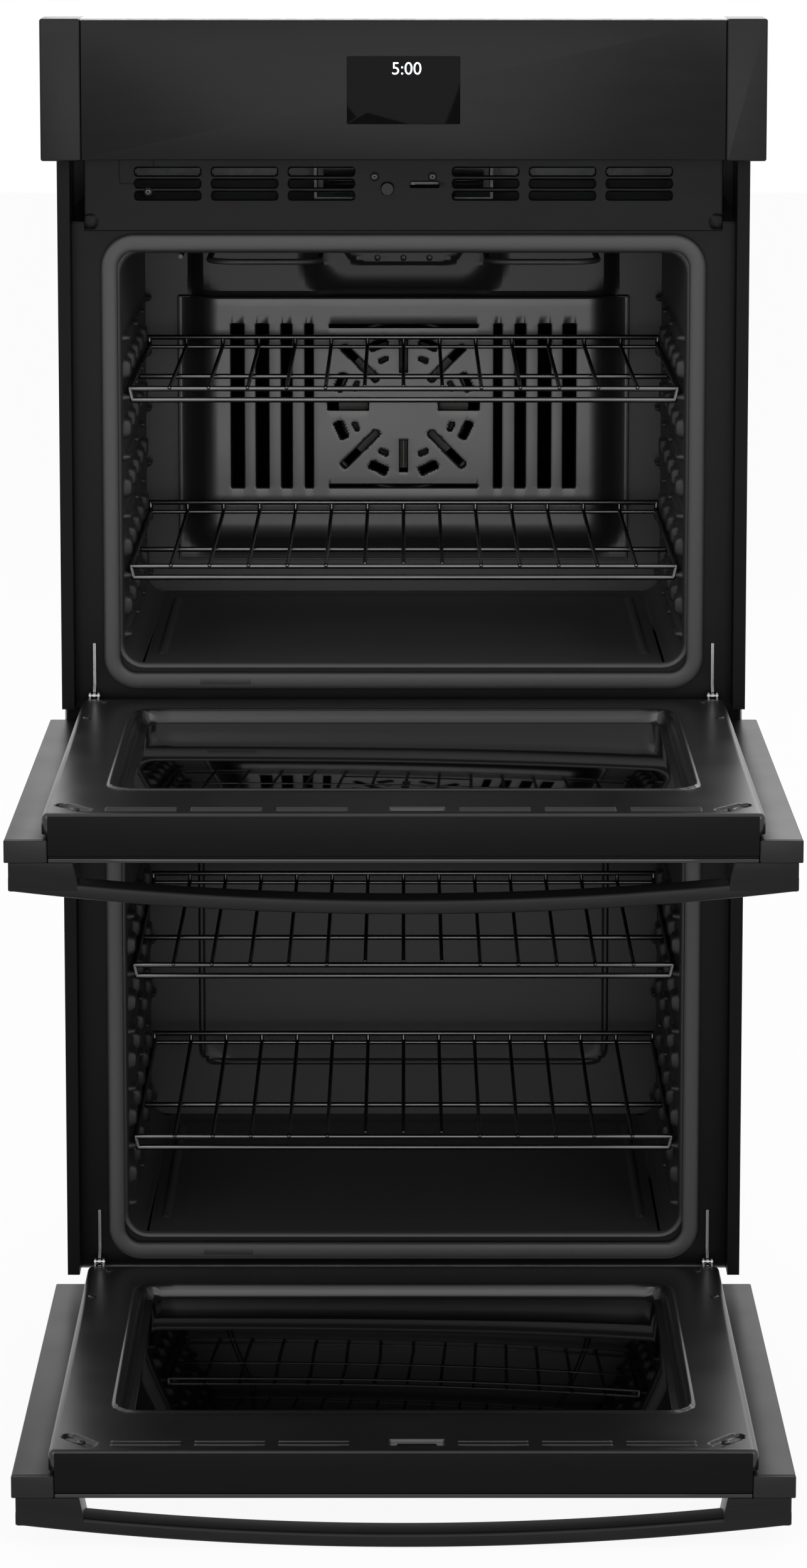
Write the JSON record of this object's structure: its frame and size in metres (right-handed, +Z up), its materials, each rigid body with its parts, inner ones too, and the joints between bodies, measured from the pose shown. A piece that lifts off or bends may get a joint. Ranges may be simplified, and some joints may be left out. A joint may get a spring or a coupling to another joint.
{
  "type": "double wall oven",
  "caption": "Built-in electric double wall oven with two drop-down doors, wire racks, a convection fan and a glass control panel.",
  "frame": {"origin": "middle of the chassis base, in the plane of the cabinet's face", "axes": "+X to the right seen from the front, +Y into the cabinet, +Z up"},
  "size_m": [0.7556, 1.152, 1.4468],
  "materials": {
    "chassis_steel": "galvanised sheet",
    "black_paint": "satin black",
    "black_enamel": "glossy porcelain enamel",
    "gasket_rubber": "matte",
    "rack_wire": "dark plated wire",
    "heater_tube": "oxidised",
    "fan_sheet": "mill",
    "motor_case": "zinc plated",
    "lamp_glass": "frosted",
    "chrome_steel": "bright plated",
    "insulation_wool": "mineral wool",
    "black_stainless": "dark brushed",
    "black_glass": "back-painted, polished",
    "window_glass": "polished",
    "screw_steel": "plated",
    "black_plastic": "moulded",
    "circuit_board": "laminate"
  },
  "bodies": {
    "chassis": {"back_cover": "chassis_steel", "bake_elements": "heater_tube", "base_panel": "chassis_steel", "blower_housing": "chassis_steel", "broil_elements": "heater_tube", "conduit_gland": "black_plastic", "control_board": "circuit_board", "control_end_caps": "black_stainless", "control_glass": "black_glass", "control_tray": "chassis_steel", "convection_cover": "black_enamel", "convection_element": "heater_tube", "convection_motor": "motor_case", "door_gaskets": "gasket_rubber", "duct_plates": "chassis_steel", "hinge_arms": "chrome_steel", "insulation_blankets": "insulation_wool", "latch_mounts": "black_plastic", "lower_cavity": "black_enamel", "middle_vent_panel": "black_paint", "oven_lamps": "lamp_glass", "side_panel_left": "chassis_steel", "side_panel_right": "chassis_steel", "side_trims": "black_paint", "temperature_probes": "chrome_steel", "top_panel": "chassis_steel", "upper_cavity": "black_enamel", "upper_vent_panel": "black_paint"},
    "blower_rotor_body": {"blower_rotor": "fan_sheet"},
    "convection_fan_body": {"convection_fan": "fan_sheet"},
    "lower_bottom_rack_body": {"lower_bottom_rack": "rack_wire"},
    "lower_door": {"lower_door_bottom_rail": "black_paint", "lower_door_front_glass": "black_glass", "lower_door_handle_bar": "black_stainless", "lower_door_handle_posts": "black_stainless", "lower_door_hinges": "chrome_steel", "lower_door_insulation": "insulation_wool", "lower_door_liner": "black_enamel", "lower_door_screws": "screw_steel", "lower_door_stiles": "black_stainless", "lower_door_top_trim": "black_paint", "lower_door_window_panes": "window_glass"},
    "lower_door_plunger_body": {"lower_door_plunger": "black_plastic"},
    "lower_latch_hook_body": {"lower_latch_hook": "chrome_steel"},
    "lower_top_rack_body": {"lower_top_rack": "rack_wire"},
    "upper_bottom_rack_body": {"upper_bottom_rack": "rack_wire"},
    "upper_door": {"upper_door_bottom_rail": "black_paint", "upper_door_front_glass": "black_glass", "upper_door_handle_bar": "black_stainless", "upper_door_handle_posts": "black_stainless", "upper_door_hinges": "chrome_steel", "upper_door_insulation": "insulation_wool", "upper_door_liner": "black_enamel", "upper_door_screws": "screw_steel", "upper_door_stiles": "black_stainless", "upper_door_top_trim": "black_paint", "upper_door_window_panes": "window_glass"},
    "upper_door_plunger_body": {"upper_door_plunger": "black_plastic"},
    "upper_latch_hook_body": {"upper_latch_hook": "chrome_steel"},
    "upper_top_rack_body": {"upper_top_rack": "rack_wire"}
  },
  "joints": [
    {"name": "upper_door_hinge", "type": "hinge", "parent": "chassis", "child": "upper_door", "pos_m": [0, -0.0072, 0.6342], "axis": [1, 0, 0], "range_deg": [-90, 0]},
    {"name": "lower_door_hinge", "type": "hinge", "parent": "chassis", "child": "lower_door", "pos_m": [0, -0.0072, 0.009], "axis": [1, 0, 0], "range_deg": [-90, 0]},
    {"name": "upper_top_rack_slide", "type": "slide", "parent": "chassis", "child": "upper_top_rack_body", "axis": [0, -1, 0], "range_m": [0, 0.3]},
    {"name": "upper_bottom_rack_slide", "type": "slide", "parent": "chassis", "child": "upper_bottom_rack_body", "axis": [0, -1, 0], "range_m": [0, 0.3]},
    {"name": "lower_top_rack_slide", "type": "slide", "parent": "chassis", "child": "lower_top_rack_body", "axis": [0, -1, 0], "range_m": [0, 0.3]},
    {"name": "lower_bottom_rack_slide", "type": "slide", "parent": "chassis", "child": "lower_bottom_rack_body", "axis": [0, -1, 0], "range_m": [0, 0.3]},
    {"name": "convection_fan_spin", "type": "hinge", "parent": "chassis", "child": "convection_fan_body", "pos_m": [0, 0.455, 0.8893], "axis": [0, 1, 0], "continuous": true},
    {"name": "blower_rotor_spin", "type": "hinge", "parent": "chassis", "child": "blower_rotor_body", "pos_m": [0, 0.33, 1.18], "axis": [1, 0, 0], "continuous": true},
    {"name": "upper_latch_turn", "type": "hinge", "parent": "chassis", "child": "upper_latch_hook_body", "pos_m": [0.046, 0.026, 1.181], "axis": [0, 0, 1], "range_deg": [0, 60]},
    {"name": "upper_door_switch_press", "type": "slide", "parent": "chassis", "child": "upper_door_plunger_body", "axis": [0, 1, 0], "range_m": [0, 0.003]},
    {"name": "lower_latch_turn", "type": "hinge", "parent": "chassis", "child": "lower_latch_hook_body", "pos_m": [0.046, 0.026, 0.551], "axis": [0, 0, 1], "range_deg": [0, 60]},
    {"name": "lower_door_switch_press", "type": "slide", "parent": "chassis", "child": "lower_door_plunger_body", "axis": [0, 1, 0], "range_m": [0, 0.003]}
  ],
  "couplings": [
    {"joint": "upper_door_switch_press", "follows": "upper_door_hinge", "m_per_rad": -0.0019},
    {"joint": "lower_door_switch_press", "follows": "lower_door_hinge", "m_per_rad": -0.0019}
  ]
}
